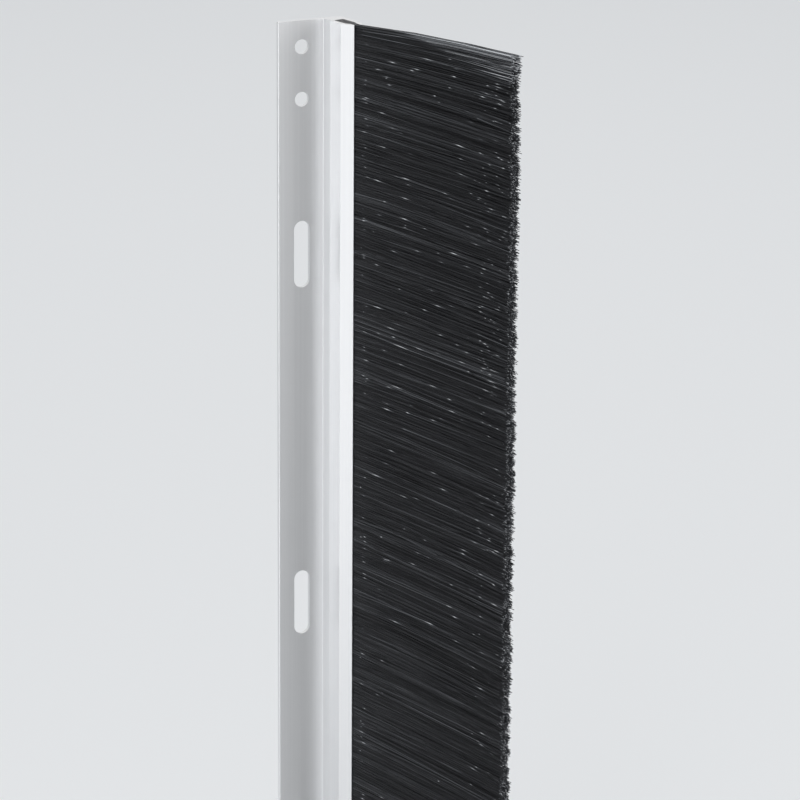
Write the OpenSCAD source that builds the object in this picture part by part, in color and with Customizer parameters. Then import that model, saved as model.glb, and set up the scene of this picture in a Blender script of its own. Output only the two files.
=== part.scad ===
// Rack brush strip panel: an extruded rail whose clamp holds a strip brush.
// Z runs up the strip. The flange's back face lies in the XZ plane, facing +Y.
// The origin is on that face, on the hole line, half way up the rail.

/* [Rail] */
// Length of the rail and of the brush in it
rail_len = 575; // [300:25:1200]
// Radius of the small edges that the extrusion die leaves
edge_r = 0.4; // [0.2:0.05:0.6]
// Most turn between two facets of a rounded edge, in degrees
facet_turn = 10; // [6:1:20]

/* [Flange] */
// Thickness of the flange
flange_t = 2; // [1.6:0.1:3]
// From the hole line to the free edge
flange_edge = 11.9; // [8:0.1:20]
// From the hole line to the fold where the clamp begins
flange_fold = 10.95; // [8:0.05:16]

/* [Fixing holes] */
// Diameter of the round holes near each end
hole_d = 7; // [5:0.1:8]
// From the rail's end to the first round hole
hole_inset = 12.5; // [8:0.5:20]
// From the first round hole to the second
hole_pitch = 25; // [15:0.5:35]
// Width of the long slots
slot_w = 8; // [5:0.1:9]
// Length of the long slots, end to end
slot_len = 32.5; // [15:0.5:60]
// Spacing of the long slots
slot_pitch = 175; // [100:5:250]
// Least distance from the rail's end to the middle of a slot
slot_inset = 112.5; // [85:0.5:145]

/* [Clamp] */
// Turn of the brush's plane from the flange's plane, in degrees
brush_turn = 75; // [70:1:85]
// How far the clamp's outer side stands forward of the flange
step_depth = 4.2; // [3.4:0.1:6]
// Sideways lean of that step
step_lean = 1.6; // [0.8:0.1:2.2]
// From the fold to the middle of the seat's floor
seat_side = 5.4; // [5.2:0.1:7]
// From the flange's back face to the middle of the seat's floor
seat_back = 6.8; // [6:0.1:10]
// Depth of the seat, from its floor to the mouth
seat_depth = 14.5; // [12:0.1:18]
// Width of the seat between the jaws
seat_w = 5.3; // [4.6:0.1:5.8]
// Width of the clamp's mouth
mouth_w = 2.8; // [2.4:0.1:3.4]
// From the mouth back to where both jaws begin to close in
hook_start = 5.6; // [4.6:0.1:7]
// From the mouth back to where the front jaw has closed
front_hook = 3.4; // [2.4:0.1:4]
// From the mouth back to where the back jaw has closed
back_hook = 1.9; // [1.5:0.1:4]
// How far the back jaw ends short of the front one
back_short = 0.7; // [0:0.1:1]
// Thickness of the front jaw at its lip
front_lip = 0.7; // [0.6:0.1:1.4]
// Thickness of the back jaw at its lip
back_lip = 2.2; // [1.6:0.1:2.6]
// From the mouth back to the crease in the front jaw
crease_back = 6.5; // [5:0.1:8]
// Thickness of the front jaw at the crease
crease_wall = 2.15; // [1.8:0.05:2.6]
// From the mouth back to where the back jaw is thickest
swell_back = 3.2; // [2.4:0.1:5]
// How far the back jaw stands out from the mouth there
swell_wall = 3.2; // [2.8:0.1:3.6]
// Width of the clamp's head along the flange
head_w = 9.65; // [9.4:0.05:11]
// Radius of the head's back corner
head_r = 2.5; // [1:0.5:4]

/* [Brush back] */
// Gap between the brush back and the seat's floor
floor_gap = 0.3; // [0.1:0.1:0.8]
// How far the brush back stays inside the mouth
back_inset = 1.2; // [0.8:0.1:1.5]
// Width of the slot that grips the filaments
throat_w = 1.9; // [1.4:0.1:2.1]
// Diameter of the pocket round the core wire
pocket_d = 3.4; // [2.8:0.1:3.6]
// From the outside of the brush back to the middle of the core wire
wire_back = 2.4; // [2.2:0.1:3]
// Diameter of the core wire
wire_d = 1.2; // [0.8:0.1:1.6]

/* [Bristles] */
// Length of the bristles beyond the mouth
free_len = 114; // [60:1:160]
// Height of one lock of filaments at its root
lock_pitch = 3.2; // [2.5:0.1:8]
// Distance beyond the mouth at which the locks part
part_run = 3; // [1:0.5:8]
// Thickness of the whole brush at its tips
tip_spread = 5; // [3:0.5:9]
// Gap between the front and back rows at their tips
row_gap = 1.8; // [0.8:0.1:2.6]
// Share of a lock's height that is left at its tip
tip_share = 0.72; // [0.5:0.01:0.85]
// Most that a lock is shorter than the longest one
ragged = 3; // [0:0.1:6]
// Most that a lock's tip wanders up or down, as a share of the room beside it
wander = 0.9; // [0:0.05:0.95]
// How far the tips sink under their own weight
droop = 5.5; // [0:0.5:10]
// How far the topmost tips fan up above the others
fan_up = 13.5; // [0:0.5:18]
// How far the lowest tips fan down below the others
fan_down = 2; // [0:0.5:10]
// Height over which the fan at each end dies away
fan_reach = 14; // [10:1:60]

/* [Hidden] */

METAL = "gainsboro";
PLASTIC = "#202022";
STEEL = "silver";
NYLON = "#2b2b2e";

CUT = 1;            // how far a cutter runs past what it cuts
ROUND_FN = 64;
POCKET_STEPS = 8;   // facets in each half of the pocket round the wire
WIRE_SIDES = 2 * POCKET_STEPS;
LIP_ROUND = 0.4;    // radius of the front lip's edges, as a share of the lip's thickness
NOSE_ROUND = 0.45;  // radius of the back lip's outer edge, as a share of the lip's thickness
MID_SHARE = 0.55;   // where along its length a lock bends
BEND_CLEAR = 0.98;  // share of its room that a lock fills at the bend, so that neighbours stay apart
FAN_BEND = 0.1;     // how much of the fan's rise comes early in the length
LEAST_LOCKS = 4;

half_len = rail_len / 2;

// ---- the clamp's own axes: s runs out along the brush, t runs towards its back ----
out_dir = [cos(brush_turn), -sin(brush_turn)];
side_dir = [sin(brush_turn), cos(brush_turn)];
floor_mid = [flange_fold + seat_side, -seat_back];
mouth_mid = floor_mid + seat_depth * out_dir;
function place(s, t) = mouth_mid + s * out_dir + t * side_dir;

seat_half = seat_w / 2;
mouth_half = mouth_w / 2;

// ---- rounded outlines ----
function unit(v) = v / norm(v);
function fillet(before, p, after, r) =
    let (
        u = unit(before - p),
        v = unit(after - p),
        half = acos(u * v) / 2,
        mid = p + unit(u + v) * r / sin(half),
        start = p + u * r / tan(half) - mid,
        turn = 180 - 2 * half,
        way = cross(u, v) < 0 ? 1 : -1,
        steps = max(1, ceil(turn / facet_turn)),
        a0 = atan2(start[1], start[0])
    )
    [for (k = [0 : steps])
        let (a = a0 + way * turn * k / steps)
        mid + r * [cos(a), sin(a)]];

// A corner is [point, radius]; a radius of 0 leaves it sharp
function outline(corners) =
    let (n = len(corners))
    [for (i = [0 : n - 1])
        let (c = corners[i])
        each c[1] == 0 ? [c[0]]
            : fillet(corners[(i + n - 1) % n][0], c[0], corners[(i + 1) % n][0], c[1])];

// ---- rail ----
soft_r = 2 * edge_r;    // the clamp's softer edges
lip_r = LIP_ROUND * front_lip;

module rail_section() {
    polygon(outline([
        [[-flange_edge, 0], edge_r],
        [[-flange_edge, -flange_t], edge_r],
        [[flange_fold, -flange_t], edge_r],
        [[flange_fold + step_lean, -flange_t - step_depth], soft_r],
        [place(-crease_back, -seat_half - crease_wall), soft_r],
        [place(0, -mouth_half - front_lip), lip_r],
        [place(0, -mouth_half), lip_r],
        [place(-front_hook, -mouth_half), 0],
        [place(-hook_start, -seat_half), 0],
        [place(-seat_depth, -seat_half), edge_r],
        [place(-seat_depth, seat_half), edge_r],
        [place(-hook_start, seat_half), 0],
        [place(-back_hook, mouth_half), 0],
        [place(-back_short, mouth_half), edge_r],
        [place(-back_short, mouth_half + back_lip), NOSE_ROUND * back_lip],
        [place(-swell_back, mouth_half + swell_wall), soft_r],
        [[flange_fold + head_w, 0], head_r]
    ]));
}

module across_flange(z) {
    translate([0, CUT, z])
        rotate([90, 0, 0])
            linear_extrude(height = flange_t + 2 * CUT)
                children();
}

module slot_outline() {
    run = slot_len - slot_w;
    square([slot_w, run], center = true);
    for (end = [-1, 1])
        translate([0, end * run / 2])
            circle(d = slot_w, $fn = ROUND_FN);
}

slot_gaps = floor((rail_len - 2 * slot_inset) / slot_pitch);

module carrier_profile() {
    color(METAL)
        difference() {
            linear_extrude(height = rail_len, center = true)
                rail_section();
            for (end = [-1, 1], step = [0, 1])
                across_flange(end * (half_len - hole_inset - step * hole_pitch))
                    circle(d = hole_d, $fn = ROUND_FN);
            for (i = [0 : slot_gaps])
                across_flange((i - slot_gaps / 2) * slot_pitch)
                    slot_outline();
        }
}

// ---- brush back: a channel that closes on the filaments ----
back_floor = -seat_depth + floor_gap;
wire_s = back_floor + wire_back;
pocket_r = pocket_d / 2;
throat_half = throat_w / 2;
// Angle from the pocket's middle at which the throat opens
throat_angle = asin(throat_half / pocket_r);

// One half of the pocket, from the throat round to the side away from it
function pocket_half(side) =
    [for (k = [0 : POCKET_STEPS])
        let (a = throat_angle + (180 - throat_angle) * k / POCKET_STEPS)
        [wire_s + pocket_r * cos(a), side * pocket_r * sin(a)]];

function reversed(list) = [for (i = [len(list) - 1 : -1 : 0]) list[i]];

// The pocket's whole outline, front side first, in s and t
pocket = concat(pocket_half(-1), reversed([for (i = [0 : POCKET_STEPS - 1]) pocket_half(1)[i]]));

module brush_back() {
    // it fills the seat and the hooks, and its deep corners clear the seat's rounded ones
    section = concat(
        [[-back_inset, -throat_half]],
        pocket,
        [[-back_inset, throat_half], [-back_inset, mouth_half], [-back_hook, mouth_half]],
        [[-hook_start, seat_half]],
        fillet([-hook_start, seat_half], [back_floor, seat_half], [back_floor, -seat_half], soft_r),
        fillet([back_floor, seat_half], [back_floor, -seat_half], [-hook_start, -seat_half], soft_r),
        [[-hook_start, -seat_half], [-front_hook, -mouth_half], [-back_inset, -mouth_half]]
    );
    color(PLASTIC)
        linear_extrude(height = rail_len, center = true)
            polygon([for (p = section) place(p[0], p[1])]);
}

module core_wire() {
    middle = place(wire_s, 0);
    color(STEEL)
        translate([middle[0], middle[1], -half_len])
            cylinder(d = wire_d, h = rail_len, $fn = ROUND_FN);
}

// ---- bristles: two rows of locks, joined where they fold round the wire ----
locks = max(LEAST_LOCKS, round(rail_len / lock_pitch));
pitch = rail_len / locks;
tip_s = free_len - part_run;

// Repeatable scatter, from -1 to 1
WANDERS = rands(-1, 1, 2 * locks + 2, 11);
SHORTS = rands(0, 1, 4 * locks + 4, 23);

// How far the fan at each end moves a tip whose root is at height z
function fan(z) =
    fan_up * exp(-(half_len - z) / fan_reach) - fan_down * exp(-(half_len + z) / fan_reach);

// How far a filament has moved up or down at a share u of its length
function lift(z, u) = fan(z) * u * (1 + FAN_BEND - FAN_BEND * u) - droop * u * u;

// The four corners of a lock's cross-section: outer low, outer high, inner low, inner high
function lock_ring(side, s_low, s_high, z_low, z_high, outer, inner) =
    [
        [s_low, side * outer, z_low],
        [s_high, side * outer, z_high],
        [s_low, side * inner, z_low],
        [s_high, side * inner, z_high]
    ];

// Heights of the lock boundaries at the root of a row; the back row is half a lock lower
function root_low(row, i) =
    row == 0 ? -half_len + i * pitch : max(-half_len, -half_len + (i - 0.5) * pitch);
function root_high(row, i) =
    row == 0 ? root_low(0, i + 1) : min(half_len, -half_len + (i + 0.5) * pitch);

function lock_rings(row, i) =
    let (
        side = row == 0 ? -1 : 1,
        n = row * locks + i,
        low = root_low(row, i),
        high = root_high(row, i),
        half = tip_share * (high - low) / 2,
        room = (1 - tip_share) * (high - low) / 2,
        mid_z = (low + high) / 2,
        stray = WANDERS[n] * wander * room,
        bend_z = mid_z + lift(mid_z, MID_SHARE) + stray * MID_SHARE * MID_SHARE,
        tip_z = mid_z + lift(mid_z, 1) + stray,
        mid_half = (half + (high - low) / 2) / 2 * BEND_CLEAR,
        mid_s = part_run + tip_s * MID_SHARE,
        end_low = free_len - ragged * SHORTS[2 * n],
        end_high = free_len - ragged * SHORTS[2 * n + 1],
        full = tip_spread / 2,
        mid_outer = throat_half + (full - throat_half) * MID_SHARE,
        mid_inner = row_gap / 2 * MID_SHARE
    )
    concat(
        lock_ring(side, mid_s, mid_s, bend_z - mid_half, bend_z + mid_half, mid_outer, mid_inner),
        lock_ring(side, end_low, end_high, tip_z - half, tip_z + half, full, row_gap / 2)
    );

module bristles() {
    back_locks = locks + 1;
    // the bore for the wire, its flat sides touching the wire
    bore_r = wire_d / 2 / cos(180 / WIRE_SIDES);
    bore = [for (k = [0 : WIRE_SIDES - 1]) [wire_s + bore_r * cos(360 * k / WIRE_SIDES),
        bore_r * sin(360 * k / WIRE_SIDES)]];
    hood = len(pocket);

    // points, in s, t and z
    middle_line = [for (k = [0 : 2 * locks]) [part_run, 0, -half_len + k * pitch / 2]];
    front_line = [for (i = [0 : locks]) [part_run, -throat_half, -half_len + i * pitch]];
    back_line = [for (i = [0 : back_locks]) [part_run, throat_half,
        i == 0 ? -half_len : root_high(1, i - 1)]];
    hood_low = [for (p = pocket) [p[0], p[1], -half_len]];
    hood_high = [for (p = pocket) [p[0], p[1], half_len]];
    bore_low = [for (p = bore) [p[0], p[1], -half_len]];
    bore_high = [for (p = bore) [p[0], p[1], half_len]];
    front_locks = [for (i = [0 : locks - 1]) each lock_rings(0, i)];
    rear_locks = [for (i = [0 : back_locks - 1]) each lock_rings(1, i)];

    // where each group of points starts
    at_front = len(middle_line);
    at_back = at_front + len(front_line);
    at_hood_low = at_back + len(back_line);
    at_hood_high = at_hood_low + hood;
    at_bore_low = at_hood_high + hood;
    at_bore_high = at_bore_low + WIRE_SIDES;
    at_front_locks = at_bore_high + WIRE_SIDES;
    at_rear_locks = at_front_locks + len(front_locks);

    function span(a, b) = a <= b ? [for (k = [a : b]) k] : [for (k = [a : -1 : b]) k];
    function flip(face, yes) = yes ? reversed(face) : face;

    // An end of the root: a ring of quads between pocket and bore, then the throat's two halves.
    // Each face is fanned from its first point, which is never in line with the next two.
    function end_faces(high) =
        let (
            h = high ? at_hood_high : at_hood_low,
            b = high ? at_bore_high : at_bore_low,
            m = high ? 2 * locks : 0,
            f = at_front + (high ? locks : 0),
            r = at_back + (high ? back_locks : 0)
        )
        concat(
            [for (k = [0 : WIRE_SIDES - 1])
                flip([h + k, h + k + 1, b + WIRE_SIDES - k - 1, b + (WIRE_SIDES - k) % WIRE_SIDES],
                    !high)],
            [flip([m, f, h, b], !high), flip([h + hood - 1, r, m, b], !high)]
        );

    root_faces = concat(
        end_faces(false),
        end_faces(true),
        [for (k = [0 : hood - 2])
            [at_hood_low + k, at_hood_low + k + 1, at_hood_high + k + 1, at_hood_high + k]],
        [for (k = [0 : WIRE_SIDES - 1])
            let (q = (k + 1) % WIRE_SIDES)
            [at_bore_low + k, at_bore_low + q, at_bore_high + q, at_bore_high + k]],
        [concat([at_hood_low, at_hood_high], span(at_front + locks, at_front))],
        [concat([at_hood_high + hood - 1, at_hood_low + hood - 1], span(at_back, at_back + back_locks))]
    );

    // one lock from its root edge to its tip
    function lock_faces(row, i) =
        let (
            a = (row == 0 ? at_front : at_back) + i,
            m_low = row == 0 ? 2 * i : max(0, 2 * i - 1),
            m_high = row == 0 ? 2 * i + 2 : min(2 * locks, 2 * i + 1),
            r = (row == 0 ? at_front_locks : at_rear_locks) + 8 * i,
            back = row == 1
        )
        [
            flip([a, r, r + 1, a + 1], !back),
            flip(concat([r + 3], span(m_high, m_low), [r + 2]), back),
            flip([a, m_low, r + 2, r], !back),
            flip([m_high, a + 1, r + 1, r + 3], !back),
            flip([r, r + 4, r + 5, r + 1], !back),
            flip([r + 3, r + 7, r + 6, r + 2], !back),
            flip([r + 2, r + 6, r + 4, r], !back),
            flip([r + 1, r + 5, r + 7, r + 3], !back),
            flip([r + 4, r + 6, r + 7, r + 5], !back)
        ];

    all_points = concat(middle_line, front_line, back_line, hood_low, hood_high, bore_low, bore_high,
        front_locks, rear_locks);
    color(NYLON)
        polyhedron(
            points = [for (p = all_points) let (q = place(p[0], p[1])) [q[0], q[1], p[2]]],
            faces = concat(
                root_faces,
                [for (i = [0 : locks - 1]) each lock_faces(0, i)],
                [for (i = [0 : back_locks - 1]) each lock_faces(1, i)]
            ),
            convexity = 10
        );
}

carrier_profile();
brush_back();
core_wire();
bristles();
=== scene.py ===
import math

import bpy
import numpy as np
from mathutils import Matrix, Vector


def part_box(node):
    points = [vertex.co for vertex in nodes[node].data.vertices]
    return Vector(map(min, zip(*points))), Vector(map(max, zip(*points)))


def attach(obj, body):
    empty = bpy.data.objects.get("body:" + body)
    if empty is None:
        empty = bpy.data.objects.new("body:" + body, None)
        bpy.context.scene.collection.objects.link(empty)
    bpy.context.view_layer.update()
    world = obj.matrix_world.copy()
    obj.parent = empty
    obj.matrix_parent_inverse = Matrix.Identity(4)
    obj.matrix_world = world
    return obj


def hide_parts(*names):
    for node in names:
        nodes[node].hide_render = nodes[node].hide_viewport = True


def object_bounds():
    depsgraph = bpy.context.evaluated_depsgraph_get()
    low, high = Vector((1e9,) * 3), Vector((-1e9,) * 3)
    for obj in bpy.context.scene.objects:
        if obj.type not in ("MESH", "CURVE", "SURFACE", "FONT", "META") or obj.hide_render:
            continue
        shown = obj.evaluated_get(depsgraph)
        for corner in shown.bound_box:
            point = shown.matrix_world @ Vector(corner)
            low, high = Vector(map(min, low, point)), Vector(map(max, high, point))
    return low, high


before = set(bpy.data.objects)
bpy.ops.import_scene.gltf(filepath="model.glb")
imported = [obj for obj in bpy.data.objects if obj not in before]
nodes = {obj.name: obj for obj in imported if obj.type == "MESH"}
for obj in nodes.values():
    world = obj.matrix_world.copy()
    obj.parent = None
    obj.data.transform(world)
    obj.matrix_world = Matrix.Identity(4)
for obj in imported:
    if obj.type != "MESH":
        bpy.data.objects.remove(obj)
cad_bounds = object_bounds()

MM = 0.001
rail_low, rail_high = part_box("carrier_profile")

# ---------------------------------------------------------------- camera

CAMERA_LENS = 180.0
CAMERA_AZIMUTH = math.radians(-24.0)
CAMERA_ELEVATION = math.radians(17.5)
CAMERA_ROLL = math.radians(0.42)
CAMERA_DISTANCE = 1.9353
AIM = Vector((0.0522, 0.0, rail_high.z - 0.1916))


def add_camera():
    """A long lens, looking down a little from the flange's side of the strip."""
    away = Vector((
        math.sin(CAMERA_AZIMUTH) * math.cos(CAMERA_ELEVATION),
        -math.cos(CAMERA_AZIMUTH) * math.cos(CAMERA_ELEVATION),
        math.sin(CAMERA_ELEVATION),
    ))
    data = bpy.data.cameras.new("camera")
    data.lens = CAMERA_LENS
    data.sensor_width = 36.0
    data.clip_end = 50.0
    camera = bpy.data.objects.new("camera", data)
    bpy.context.scene.collection.objects.link(camera)
    turn = away.to_track_quat("Z", "Y").to_matrix() @ Matrix.Rotation(CAMERA_ROLL, 3, "Z")
    camera.matrix_world = Matrix.Translation(AIM + away * CAMERA_DISTANCE) @ turn.to_4x4()
    bpy.context.scene.camera = camera


# ---------------------------------------------------------------- light and floor

WORLD_LIGHT = 0.65
WORLD_SEEN = 0.85


def add_area(name, place, aim, size, power, color=(1.0, 1.0, 1.0)):
    data = bpy.data.lights.new(name, "AREA")
    data.shape = "RECTANGLE"
    data.size, data.size_y = size
    data.energy = power
    data.color = color
    lamp = bpy.data.objects.new(name, data)
    bpy.context.scene.collection.objects.link(lamp)
    lamp.location = place
    lamp.rotation_euler = (Vector(place) - Vector(aim)).to_track_quat("Z", "Y").to_euler()
    lamp.visible_camera = False


def around(degrees, radius, height):
    """A place at an angle round the strip, from the X axis."""
    a = math.radians(degrees)
    return (radius * math.cos(a), radius * math.sin(a), height)


def add_studio():
    """A pale floor, a pale world and plain soft boxes."""
    world = bpy.data.worlds.new("studio")
    bpy.context.scene.world = world
    world.use_nodes = True
    tree = world.node_tree
    lighting = tree.nodes["Background"]
    lighting.inputs["Color"].default_value = (0.94, 0.97, 1.0, 1.0)
    lighting.inputs["Strength"].default_value = WORLD_LIGHT
    seen = tree.nodes.new("ShaderNodeBackground")
    seen.inputs["Color"].default_value = (1.0, 1.0, 1.0, 1.0)
    seen.inputs["Strength"].default_value = WORLD_SEEN
    ray = tree.nodes.new("ShaderNodeLightPath")
    either = tree.nodes.new("ShaderNodeMath")
    either.operation = "MAXIMUM"
    any_of = tree.nodes.new("ShaderNodeMath")
    any_of.operation = "MAXIMUM"
    mix = tree.nodes.new("ShaderNodeMixShader")
    tree.links.new(ray.outputs["Is Camera Ray"], either.inputs[0])
    tree.links.new(ray.outputs["Is Glossy Ray"], either.inputs[1])
    tree.links.new(either.outputs["Value"], any_of.inputs[0])
    tree.links.new(ray.outputs["Is Transmission Ray"], any_of.inputs[1])
    tree.links.new(any_of.outputs["Value"], mix.inputs["Fac"])
    tree.links.new(lighting.outputs["Background"], mix.inputs[1])
    tree.links.new(seen.outputs["Background"], mix.inputs[2])
    tree.links.new(mix.outputs["Shader"], tree.nodes["World Output"].inputs["Surface"])

    bpy.ops.object.select_all(action="DESELECT")
    bpy.ops.mesh.primitive_plane_add(size=30.0, location=(0.0, 0.0, cad_bounds[0].z - 2 * MM))
    floor = bpy.context.object
    floor.name = "floor"
    material = bpy.data.materials.new("floor_pale")
    material.use_nodes = True
    shader = material.node_tree.nodes["Principled BSDF"]
    shader.inputs["Base Color"].default_value = (0.90, 0.90, 0.90, 1.0)
    shader.inputs["Roughness"].default_value = 0.9
    floor.data.materials.append(material)

    low = (0.0, 0.0, 0.1)
    add_area("floor_light", (0.7, 1.4, 2.4), (0.7, 1.4, -0.29), (2.6, 2.6), 14.5)
    add_area("card_edge", around(180, 0.8, 0.1), low, (0.24, 0.8), 0.91)
    add_area("card_left", around(237, 0.85, 0.1), low, (0.24, 0.8), 1.69)
    add_area("front_far", around(300, 2.0, 0.3), low, (1.2, 1.2), 5.6)
    add_area("right_fill", (1.6, -1.5, 0.8), (0.03, -0.05, 0.0), (1.0, 1.0), 7.8)


# ---------------------------------------------------------------- materials

def new_material(name):
    material = bpy.data.materials.new(name)
    material.use_nodes = True
    tree = material.node_tree
    return material, tree, tree.nodes["Principled BSDF"]


def node(tree, kind, **values):
    n = tree.nodes.new(kind)
    for key, value in values.items():
        setattr(n, key, value)
    return n


def stretched_noise(tree, scale, squeeze, detail=4.0, roughness=0.6):
    """Noise on Object coordinates, squeezed along each axis."""
    where = node(tree, "ShaderNodeTexCoord")
    mapping = node(tree, "ShaderNodeMapping")
    mapping.inputs["Scale"].default_value = squeeze
    noise = node(tree, "ShaderNodeTexNoise")
    noise.inputs["Scale"].default_value = scale
    noise.inputs["Detail"].default_value = detail
    noise.inputs["Roughness"].default_value = roughness
    tree.links.new(where.outputs["Object"], mapping.inputs["Vector"])
    tree.links.new(mapping.outputs["Vector"], noise.inputs["Vector"])
    return noise


def ramp(tree, source, stops):
    r = node(tree, "ShaderNodeValToRGB")
    elements = r.color_ramp.elements
    while len(elements) < len(stops):
        elements.new(0.5)
    for element, (place, color) in zip(elements, stops):
        element.position = place
        element.color = (*color, 1.0)
    tree.links.new(source, r.inputs["Fac"])
    return r


def grey(v):
    return (v, v, v)


def anodised_aluminium():
    """Clear anodised extrusion: satin, with die lines along its length."""
    material, tree, shader = new_material("anodised_aluminium")
    shader.inputs["Metallic"].default_value = 1.0
    lines = stretched_noise(tree, 900.0, (1.0, 1.0, 0.004), detail=3.0)
    cloud = stretched_noise(tree, 22.0, (1.0, 1.0, 0.25), detail=2.0)
    tint = ramp(tree, lines.outputs["Fac"], [(0.3, (0.74, 0.745, 0.755)), (0.7, (0.775, 0.78, 0.788))])
    mix = node(tree, "ShaderNodeMix", data_type="RGBA", blend_type="MULTIPLY")
    mix.inputs["Factor"].default_value = 1.0
    soft = ramp(tree, cloud.outputs["Fac"], [(0.25, grey(0.98)), (0.75, grey(1.0))])
    tree.links.new(tint.outputs["Color"], mix.inputs["A"])
    tree.links.new(soft.outputs["Color"], mix.inputs["B"])
    tree.links.new(mix.outputs["Result"], shader.inputs["Base Color"])
    rough = ramp(tree, lines.outputs["Fac"], [(0.25, grey(0.36)), (0.75, grey(0.41))])
    tree.links.new(rough.outputs["Color"], shader.inputs["Roughness"])
    bump = node(tree, "ShaderNodeBump")
    bump.inputs["Strength"].default_value = 0.25
    bump.inputs["Distance"].default_value = 0.00003
    tree.links.new(lines.outputs["Fac"], bump.inputs["Height"])
    tree.links.new(bump.outputs["Normal"], shader.inputs["Normal"])
    return material


def black_plastic():
    """Extruded black plastic of the brush back."""
    material, tree, shader = new_material("black_plastic")
    grain = stretched_noise(tree, 1400.0, (1.0, 1.0, 0.05))
    tint = ramp(tree, grain.outputs["Fac"], [(0.3, (0.028, 0.028, 0.030)), (0.7, (0.042, 0.042, 0.045))])
    tree.links.new(tint.outputs["Color"], shader.inputs["Base Color"])
    shader.inputs["Roughness"].default_value = 0.5
    bump = node(tree, "ShaderNodeBump")
    bump.inputs["Strength"].default_value = 0.3
    bump.inputs["Distance"].default_value = 0.00003
    tree.links.new(grain.outputs["Fac"], bump.inputs["Height"])
    tree.links.new(bump.outputs["Normal"], shader.inputs["Normal"])
    return material


def drawn_wire():
    """Dull drawn steel wire with marks along it."""
    material, tree, shader = new_material("drawn_wire")
    shader.inputs["Metallic"].default_value = 1.0
    marks = stretched_noise(tree, 2500.0, (1.0, 1.0, 0.01))
    tint = ramp(tree, marks.outputs["Fac"], [(0.3, (0.08, 0.08, 0.083)), (0.7, (0.14, 0.14, 0.144))])
    rough = ramp(tree, marks.outputs["Fac"], [(0.3, grey(0.40)), (0.7, grey(0.55))])
    tree.links.new(tint.outputs["Color"], shader.inputs["Base Color"])
    tree.links.new(rough.outputs["Color"], shader.inputs["Roughness"])
    return material


def nylon_filament():
    """Black nylon: a filament's own shade, with painted highlights: pale stretches painted as glints, pale cut
    ends and a pale top edge.
    """
    material, tree, shader = new_material("nylon_filament")
    shade = node(tree, "ShaderNodeAttribute", attribute_type="GEOMETRY", attribute_name="shade")
    # the dark end of the ramp is the nylon's own tone; its pale end, from 0.7 up, is painted highlight
    tint = ramp(tree, shade.outputs["Fac"], [
        (0.0, (0.0132, 0.0136, 0.0152)),
        (0.5, (0.0308, 0.0317, 0.0352)),
        (0.7, (0.125, 0.13, 0.14)),
        (1.0, (0.88, 0.90, 0.93)),
    ])
    tree.links.new(tint.outputs["Color"], shader.inputs["Base Color"])
    shader.inputs["Roughness"].default_value = 0.5
    shader.inputs["Specular IOR Level"].default_value = 0.22
    return material


# ---------------------------------------------------------------- bristles

BRUSH_TURN = math.radians(75.0)
OUT = np.array([math.cos(BRUSH_TURN), -math.sin(BRUSH_TURN), 0.0])
SIDE = np.array([math.sin(BRUSH_TURN), math.cos(BRUSH_TURN), 0.0])
MOUTH = np.array([20.103, -20.806, 0.0]) * MM

FILAMENTS = 36000
BAND_NAMES = ["bristles_bottom", "bristles_lower", "bristles_middle", "bristles_upper", "bristles_top"]
SEGMENTS = 4
FILAMENT_R = 0.16 * MM
ROOT_HALF = 1.22 * MM
ROOT_DEPTH = 1.0 * MM
FREE_LENGTH = 114.0 * MM
TIP_HALF = 2.35 * MM
FOLD_R = 1.68 * MM
NECK_HALF = 0.93 * MM
LEAVE_UP = 2.6 * MM
HANG = 3.9 * MM
FAN_UP = 7.2 * MM
FAN_DOWN = 5.0 * MM
FAN_REACH = 13.0 * MM
FAN_BEND = 0.1


def filament_pattern():
    """One filament, modelled once: three sides and SEGMENTS lengths. Gives each point's ring."""
    bpy.ops.object.select_all(action="DESELECT")
    bpy.ops.mesh.primitive_cylinder_add(
        vertices=3, radius=1.0, depth=1.0, end_fill_type="NGON", location=(0.0, 0.0, 0.5))
    pattern = bpy.context.object
    bpy.ops.object.transform_apply(location=True, rotation=True, scale=True)
    bpy.ops.object.mode_set(mode="EDIT")
    for k in range(1, SEGMENTS):
        bpy.ops.mesh.select_all(action="SELECT")
        bpy.ops.mesh.bisect(plane_co=(0.0, 0.0, k / SEGMENTS), plane_no=(0.0, 0.0, 1.0))
    bpy.ops.mesh.select_all(action="SELECT")
    bpy.ops.mesh.quads_convert_to_tris()
    bpy.ops.object.mode_set(mode="OBJECT")
    mesh = pattern.data
    points = np.array([v.co[:] for v in mesh.vertices])
    faces = np.array([p.vertices[:] for p in mesh.polygons])
    bottom = [i for i, p in enumerate(mesh.polygons) if max(mesh.vertices[v].co.z for v in p.vertices) < 1e-4]
    faces = np.delete(faces, bottom, axis=0)
    bpy.data.objects.remove(pattern)
    rings = np.round(points[:, 2] * SEGMENTS).astype(int)
    return points[:, :2], rings, faces


def fan(z):
    """How far the ends of the strip throw a tip up or down."""
    return (FAN_UP * np.exp(-(rail_high.z - z) / FAN_REACH)
            - FAN_DOWN * np.exp(-(z - rail_low.z) / FAN_REACH))


def tufts(z, rng, pitch):
    """Gathers filaments by height into tufts of uneven size; gives each filament's tuft and its middle."""
    count = int((rail_high.z - rail_low.z) / pitch)
    edges = rail_low.z + np.cumsum(rng.uniform(0.45, 1.55, count + 40)) * pitch
    tuft = np.searchsorted(edges, z)
    middle = np.where(tuft > 0, (edges[tuft] + edges[np.maximum(tuft - 1, 0)]) / 2, rail_low.z + pitch / 2)
    return tuft, middle, len(edges) + 1


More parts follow.
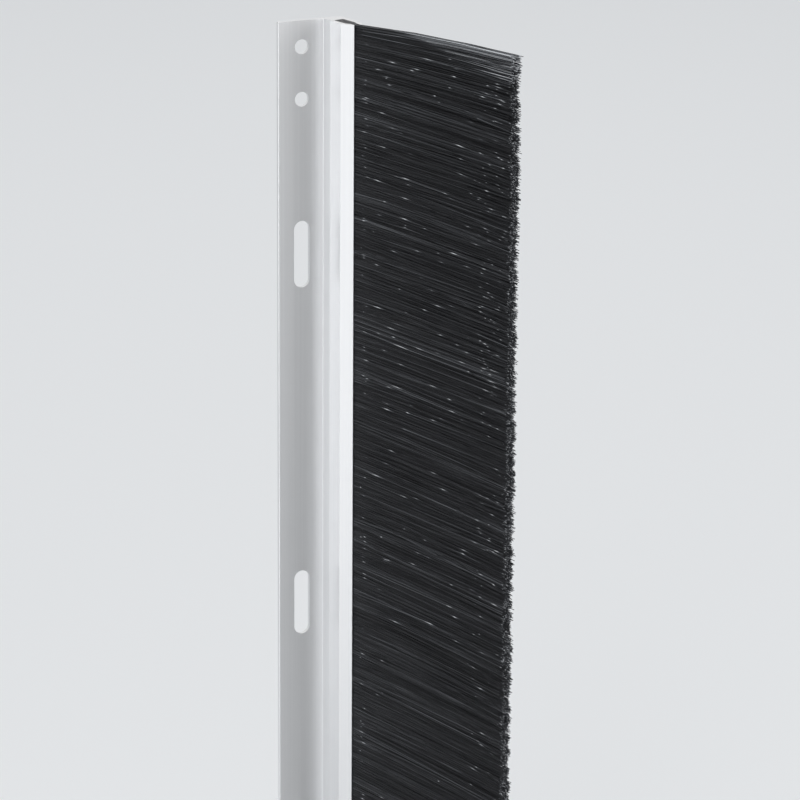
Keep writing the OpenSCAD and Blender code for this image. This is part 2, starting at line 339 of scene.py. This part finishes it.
def grow_bristles():
    rng = np.random.default_rng(7)
    section, rings, faces = filament_pattern()
    n = FILAMENTS
    z = np.sort(rng.uniform(rail_low.z, rail_high.z, n))
    across = rng.uniform(-1.0, 1.0, n)
    front = across < 0.0
    tuft_f, mid_f, count_f = tufts(z, rng, 2.0 * MM)
    tuft_b, mid_b, count_b = tufts(z, rng, 2.0 * MM)
    tuft = np.where(front, tuft_f, count_f + tuft_b)
    middle = np.where(front, mid_f, mid_b)
    total = count_f + count_b
    tuft_rise = rng.normal(0.0, 0.55, total) * MM
    tuft_bow = rng.normal(0.0, 0.45, total) * MM
    tuft_out = rng.normal(0.0, 0.30, total) * MM
    tuft_short = rng.uniform(0.0, 1.0, total) ** 1.5 * 1.9 * MM
    tuft_shade = rng.normal(0.0, 0.07, total)

    # the tips of a tuft lean together, and a long slow wave runs down the strip's hang
    below_top = rail_high.z - z
    calm = 1.0 - 0.6 * np.exp(-below_top / (6.0 * MM))
    wave = (0.7 * np.sin((z - rail_low.z) * 26.0 + 0.6) + 0.35 * np.sin((z - rail_low.z) * 71.0)) * MM
    gather = (middle - z) * rng.uniform(0.1, 0.6, total)[tuft]
    lean = (tuft_rise[tuft] + gather + rng.normal(0.0, 0.9, n) * MM - wave) * calm
    bow = (tuft_bow[tuft] + rng.normal(0.0, 0.5, n) * MM) * calm
    length = FREE_LENGTH - tuft_short[tuft] - rng.exponential(0.55, n) * MM
    root_t = across * ROOT_HALF
    tip_t = across * TIP_HALF + tuft_out[tuft] + rng.normal(0.0, 0.2, n) * MM
    bow_t = rng.normal(0.0, 0.3, n) * MM
    shade = (rng.normal(0.36, 0.08, n) + tuft_shade[tuft])[:, None] + rng.normal(0.0, 0.09, (n, SEGMENTS + 1))
    shade += np.where(rng.random(shade.shape) < 0.06, rng.uniform(0.10, 0.32, shade.shape), 0.0)

    # strays cross the others and stand out a little
    stray = (rng.random(n) < 0.012) & (below_top > 12.0 * MM)
    lean = np.where(stray, lean + rng.normal(0.0, 4.0, n) * MM, lean)
    bow = np.where(stray, bow + rng.normal(0.0, 1.2, n) * MM, bow)
    length = np.where(stray, length + rng.uniform(-3.0, 1.6, n) * MM, length)

    # rings: root, two on the way, one just short of the tip, tip
    u = np.empty((n, SEGMENTS + 1))
    u[:] = (0.0, 0.36, 0.70, 0.985, 1.0)
    # pale: how far each ring is painted pale; all of it is painted highlight, set below
    pale = np.zeros((n, SEGMENTS + 1))
    # painted highlight: some filaments get a pale cut end, painted where the tips catch the light
    tip_glint = rng.random(n) < 0.24
    pale[:, 4] = np.where(tip_glint, rng.uniform(0.40, 0.90, n), 0.0)
    # some have their last ring further back, so that a painted pale tip runs longer
    long_tip_glint = rng.random(n) < 0.12
    u[:, 3] = np.where(long_tip_glint, rng.uniform(0.93, 0.985, n), u[:, 3])

    # painted glints: some outer filaments have a pale stretch painted where a glint would be, most near the
    # tip or just outside the clamp
    outer = np.abs(across) > 0.80
    painted_glint = outer & (rng.random(n) < np.interp(z, (-0.10, 0.09, 0.17), (0.07, 0.12, 0.25)))
    kind = rng.random(n)
    start = np.select(
        [kind < 0.20, kind < 0.65],
        [rng.uniform(0.045, 0.075, n), rng.uniform(0.80, 0.965, n)],
        rng.uniform(0.10, 0.90, n))
    run = np.where(kind < 0.65, rng.uniform(2.0, 6.5, n), rng.uniform(3.0, 14.0, n)) / 114.0
    stop = np.minimum(start + run, 0.99)
    u[painted_glint, 1] = start[painted_glint]
    u[painted_glint, 2] = (start[painted_glint] + stop[painted_glint]) / 2
    u[painted_glint, 3] = stop[painted_glint]
    pale[painted_glint, 1] = 0.0
    pale[painted_glint, 2] = rng.uniform(0.55, 0.92, painted_glint.sum())
    pale[painted_glint, 4] = 0.0
    tip_t = np.where(painted_glint, np.sign(across) * (TIP_HALF + 0.75 * MM), tip_t)
    root_t = np.where(painted_glint, np.sign(across) * (ROOT_HALF + 0.05 * MM), root_t)
    bow_t = np.where(painted_glint, np.sign(across) * 0.45 * MM, bow_t)

    # painted highlight: the topmost filaments are painted pale where they catch the light from above, the
    # lower of them only near their tips
    depth = below_top / (9.0 * MM)
    crest_highlight = rng.random(n) < 0.75 * (1.0 - depth)
    lit_from = 0.30 + 0.62 * depth[crest_highlight]
    u[crest_highlight, 1] = lit_from - 0.10
    u[crest_highlight, 2] = lit_from + 0.06
    u[crest_highlight, 3] = (lit_from + 1.06) / 2
    level = rng.uniform(0.50, 0.86, crest_highlight.sum())
    pale[crest_highlight, 1] = 0.0
    pale[crest_highlight, 2] = level * 0.8
    pale[crest_highlight, 3] = level
    pale[crest_highlight, 4] = level

    # painted highlight: two of them are painted pale for half their length, as long glints
    long_glint = np.flatnonzero((across < -0.8) & (below_top > 2.0 * MM) & (below_top < 4.5 * MM))[[2, -3]]
    u[long_glint] = (0.0, 0.06, 0.30, 0.62, 1.0)
    pale[long_glint] = (0.0, 0.60, 0.64, 0.0, 0.0)
    tip_t[long_glint] = -TIP_HALF - 0.8 * MM
    bow_t[long_glint] = -0.5 * MM

    c = u[:, rings]
    s = -ROOT_DEPTH + (length[:, None] + ROOT_DEPTH) * c
    free = np.clip(s / length[:, None], 0.0, 1.0)
    curve = np.sin(math.pi * free)
    t = root_t[:, None] + (tip_t - root_t)[:, None] * free + bow_t[:, None] * curve
    rise = (fan(z)[:, None] * free * (1 + FAN_BEND - FAN_BEND * free)
            + LEAVE_UP * free - HANG * free ** 2
            + lean[:, None] * free ** 1.5 + bow[:, None] * curve)
    # filaments that carry a painted glint stretch are drawn thicker
    radius = FILAMENT_R * (1.0 - 0.2 * c) * np.where(painted_glint, 1.35, 1.0)[:, None]
    roll = rng.uniform(0.0, 2 * math.pi, n)
    cos_r, sin_r = np.cos(roll)[:, None], np.sin(roll)[:, None]
    t = t + (section[None, :, 0] * cos_r - section[None, :, 1] * sin_r) * radius
    zz = z[:, None] + rise + (section[None, :, 0] * sin_r + section[None, :, 1] * cos_r) * radius
    co = MOUTH + s[..., None] * OUT + t[..., None] * SIDE
    co[..., 2] = zz
    tone = np.clip(np.clip(shade, 0.0, 0.68)[:, rings] * (1 - pale[:, rings]) + pale[:, rings], 0.0, 1.0)

    material = nylon_filament()
    per_band = n // len(BAND_NAMES)
    for band, name in enumerate(BAND_NAMES):
        part = slice(band * per_band, (band + 1) * per_band)
        points = co[part].reshape(-1, 3).astype(np.float32)
        steps = (np.arange(per_band) * len(rings))[:, None, None]
        tri = (faces[None, :, :] + steps).reshape(-1, 3).astype(np.int32)
        mesh = bpy.data.meshes.new(name)
        mesh.vertices.add(len(points))
        mesh.vertices.foreach_set("co", points.ravel())
        mesh.loops.add(tri.size)
        mesh.loops.foreach_set("vertex_index", tri.ravel())
        mesh.polygons.add(len(tri))
        mesh.polygons.foreach_set("loop_start", (np.arange(len(tri)) * 3).astype(np.int32))
        mesh.polygons.foreach_set("use_smooth", np.ones(len(tri), dtype=bool))
        mesh.update(calc_edges=True)
        attribute = mesh.attributes.new("shade", "FLOAT", "POINT")
        attribute.data.foreach_set("value", tone[part].astype(np.float32).ravel())
        mesh.materials.append(material)
        piece = bpy.data.objects.new(name, mesh)
        bpy.context.scene.collection.objects.link(piece)
        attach(piece, "root")
        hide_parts("bristles")


def packed_filaments():
    """Filaments pressed together where they fold: fine lines running out along the brush."""
    material, tree, shader = new_material("packed_filaments")
    lines = stretched_noise(tree, 2600.0, (0.25, 0.25, 1.0), detail=2.0)
    tint = ramp(tree, lines.outputs["Fac"], [(0.3, (0.006, 0.0064, 0.0076)), (0.7, (0.030, 0.031, 0.035))])
    tree.links.new(tint.outputs["Color"], shader.inputs["Base Color"])
    shader.inputs["Roughness"].default_value = 0.5
    shader.inputs["Specular IOR Level"].default_value = 0.22
    return material


def fold_root():
    """The filaments' root: a thick round fold about the wire and a neck that leaves through the throat."""
    height = rail_high.z - rail_low.z
    centre = (rail_high.z + rail_low.z) / 2
    wire_low, wire_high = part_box("core_wire")
    wire = Vector(((wire_low.x + wire_high.x) / 2, (wire_low.y + wire_high.y) / 2, centre))
    wire_r = (wire_high.x - wire_low.x) / 2
    neck_end = Vector((MOUTH[0], MOUTH[1], centre))
    bpy.ops.object.select_all(action="DESELECT")
    bpy.ops.mesh.primitive_cylinder_add(vertices=24, radius=FOLD_R, depth=height, location=wire)
    fold = bpy.context.object
    fold.name = "bristles_root"
    bpy.ops.object.select_all(action="DESELECT")
    bpy.ops.mesh.primitive_cube_add(size=1.0, location=(wire + neck_end) / 2, rotation=(0.0, 0.0, -BRUSH_TURN))
    neck = bpy.context.object
    neck.scale = ((neck_end - wire).length, 2 * NECK_HALF, height)
    bpy.ops.object.transform_apply(location=True, rotation=True, scale=True)
    bpy.ops.object.select_all(action="DESELECT")
    bpy.ops.mesh.primitive_cylinder_add(vertices=24, radius=wire_r, depth=height * 1.1, location=wire)
    bore = bpy.context.object
    for cutter, way in ((neck, "UNION"), (bore, "DIFFERENCE")):
        bpy.ops.object.select_all(action="DESELECT")
        fold.select_set(True)
        bpy.context.view_layer.objects.active = fold
        cut = fold.modifiers.new("join", "BOOLEAN")
        cut.operation = way
        cut.object = cutter
        bpy.ops.object.modifier_apply(modifier=cut.name)
        bpy.data.objects.remove(cutter)
    bpy.ops.object.transform_apply(location=True, rotation=True, scale=True)
    fold.data.materials.append(packed_filaments())
    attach(fold, "root")
    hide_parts("bristles")


def dress(name, material):
    """Gives a carried-over node its finish."""
    mesh = nodes[name].data
    mesh.materials.clear()
    mesh.materials.append(material)


add_camera()
add_studio()
dress("carrier_profile", anodised_aluminium())
dress("brush_back", black_plastic())
dress("core_wire", drawn_wire())
fold_root()
grow_bristles()

bpy.context.scene.view_settings.view_transform = "Standard"
